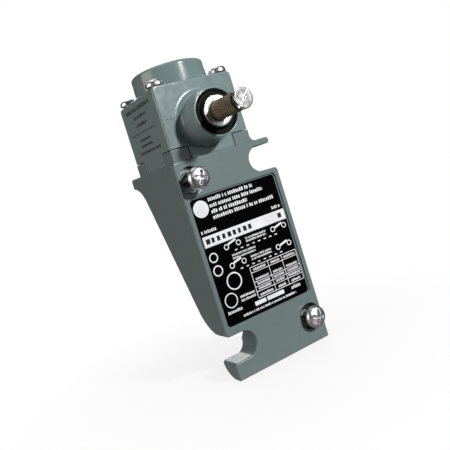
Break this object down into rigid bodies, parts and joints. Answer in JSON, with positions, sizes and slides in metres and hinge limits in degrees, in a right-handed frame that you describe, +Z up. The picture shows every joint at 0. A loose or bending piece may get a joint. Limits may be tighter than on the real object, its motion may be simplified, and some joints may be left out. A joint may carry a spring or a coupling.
{
  "type": "limit switch",
  "caption": "Plug-in rotary limit switch unit: square operating head with a slotted knurled shaft on a wedge-shaped switch body with open mounting slots.",
  "frame": {"origin": "middle of the slanted joint face that seats on the wiring receptacle: half the width, half the body height, on the face", "axes": "+Z up along the switch body, +Y from the front towards the receptacle, +X to the right seen from the front; the shaft points along -Y"},
  "size_m": [0.042, 0.0696, 0.1165],
  "materials": {
    "housing_enamel": "semi-gloss grey-green enamel on die-cast metal",
    "head_enamel": "semi-gloss grey-green enamel on die-cast metal",
    "nameplate_black": "black printed plate with white blank marks",
    "seal_rubber": "black nitrile rubber",
    "gasket_rubber": "black rubber gasket",
    "zinc_steel": "bright zinc plated steel",
    "shaft_steel": "dark oiled steel with a bright tip",
    "bush_steel": "polished bearing metal",
    "bearing_bronze": "sintered bronze",
    "mechanism_steel": "hardened steel",
    "spring_steel": "drawn spring wire",
    "block_phenolic": "black moulded phenolic",
    "cover_plastic": "dull red moulded plastic",
    "carrier_plastic": "natural nylon",
    "contact_brass": "brass with silver contacts",
    "ground_green": "green passivated steel",
    "retainer_nylon": "white nylon"
  },
  "bodies": {
    "switch_body": {"body_housing": "housing_enamel", "nameplate": "nameplate_black", "rear_gasket": "gasket_rubber", "head_housing": "head_enamel", "head_gasket": "gasket_rubber", "head_screws": "zinc_steel", "shaft_bush": "bush_steel", "shaft_seal": "seal_rubber", "rear_bush": "bearing_bronze", "detent_plunger": "mechanism_steel", "detent_spring": "spring_steel", "plunger_guide": "bearing_bronze", "plunger_seal": "seal_rubber", "plunger_spring": "spring_steel", "contact_block_case": "block_phenolic", "contact_block_cover": "cover_plastic", "contact_block_screws": "zinc_steel", "upper_terminals": "contact_brass", "lower_terminals": "contact_brass", "ground_terminal": "contact_brass", "ground_screw": "ground_green", "screw_washers": "zinc_steel", "screw_retainers": "retainer_nylon"},
    "shaft": {"operating_shaft": "shaft_steel", "shaft_retaining_ring": "spring_steel", "cam": "mechanism_steel", "cam_pin": "mechanism_steel", "detent_disc": "mechanism_steel"},
    "plunger": {"transfer_plunger": "mechanism_steel", "contact_carrier": "carrier_plastic", "upper_bridge": "contact_brass", "lower_bridge": "contact_brass", "contact_springs": "spring_steel"},
    "upper_screw_ring": {"upper_screw_o_ring": "seal_rubber"},
    "upper_screw": {"upper_captive_screw": "zinc_steel"},
    "lower_screw_ring": {"lower_screw_o_ring": "seal_rubber"},
    "lower_screw": {"lower_captive_screw": "zinc_steel"}
  },
  "joints": [
    {"name": "shaft_turn", "type": "hinge", "parent": "switch_body", "child": "shaft", "pos_m": [-0.00325, -0.02231, 0.0528], "axis": [0, -1, 0], "range_deg": [0, 90]},
    {"name": "plunger_travel", "type": "slide", "parent": "switch_body", "child": "plunger", "axis": [0, 0, -1], "range_m": [0, 0.004], "deforming": ["plunger_spring"]},
    {"name": "upper_screw_drive", "type": "slide", "parent": "switch_body", "child": "upper_screw_ring", "axis": [0, 1, 0], "range_m": [0, 0.0075]},
    {"name": "upper_screw_turn", "type": "hinge", "parent": "upper_screw_ring", "child": "upper_screw", "pos_m": [-0.0156, -0.02231, 0.03275], "axis": [0, 1, 0], "range_deg": [0, 3857.14]},
    {"name": "lower_screw_drive", "type": "slide", "parent": "switch_body", "child": "lower_screw_ring", "axis": [0, 1, 0], "range_m": [0, 0.0048]},
    {"name": "lower_screw_turn", "type": "hinge", "parent": "lower_screw_ring", "child": "lower_screw", "pos_m": [0.0156, -0.02231, -0.0301], "axis": [0, 1, 0], "range_deg": [0, 2468.57]}
  ],
  "couplings": [
    {"joint": "shaft_turn", "follows": "plunger_travel", "rad_per_m": 392.7},
    {"joint": "upper_screw_turn", "follows": "upper_screw_drive", "rad_per_m": 8976},
    {"joint": "lower_screw_turn", "follows": "lower_screw_drive", "rad_per_m": 8976}
  ]
}
